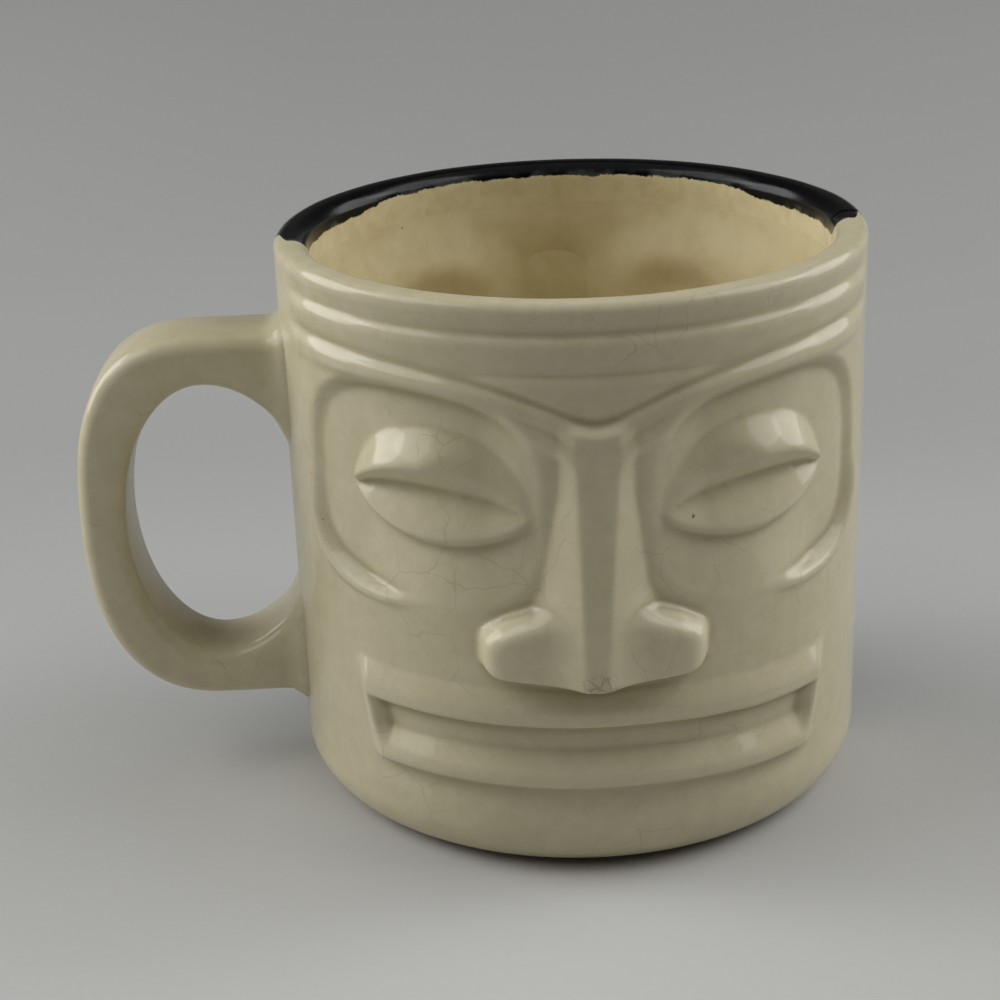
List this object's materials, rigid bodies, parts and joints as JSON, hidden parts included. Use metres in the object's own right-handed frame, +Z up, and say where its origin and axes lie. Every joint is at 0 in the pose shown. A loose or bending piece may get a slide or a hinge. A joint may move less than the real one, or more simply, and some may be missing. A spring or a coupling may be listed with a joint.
{
  "type": "tiki mug",
  "caption": "Two-tone glazed tiki mug with a moulded face on front and back and a strap handle.",
  "frame": {"origin": "centre of the recess in the foot, in the plane that the mug stands on", "axes": "+Z up along the cup's axis, the ivory face looks along -Y, the handle points along -X"},
  "size_m": [0.1199, 0.1016, 0.0863],
  "materials": {
    "bare_clay": "matt unglazed stoneware",
    "tan_glaze": "glossy translucent liner glaze",
    "ivory_glaze": "satin ivory crackle glaze",
    "black_glaze": "glossy black glaze",
    "handle_glaze": "satin ivory crackle glaze"
  },
  "bodies": {
    "root": {"clay_cup": "bare_clay", "liner_glaze": "tan_glaze", "ivory_face": "ivory_glaze", "black_face": "black_glaze", "handle": "handle_glaze"}
  },
  "joints": []
}
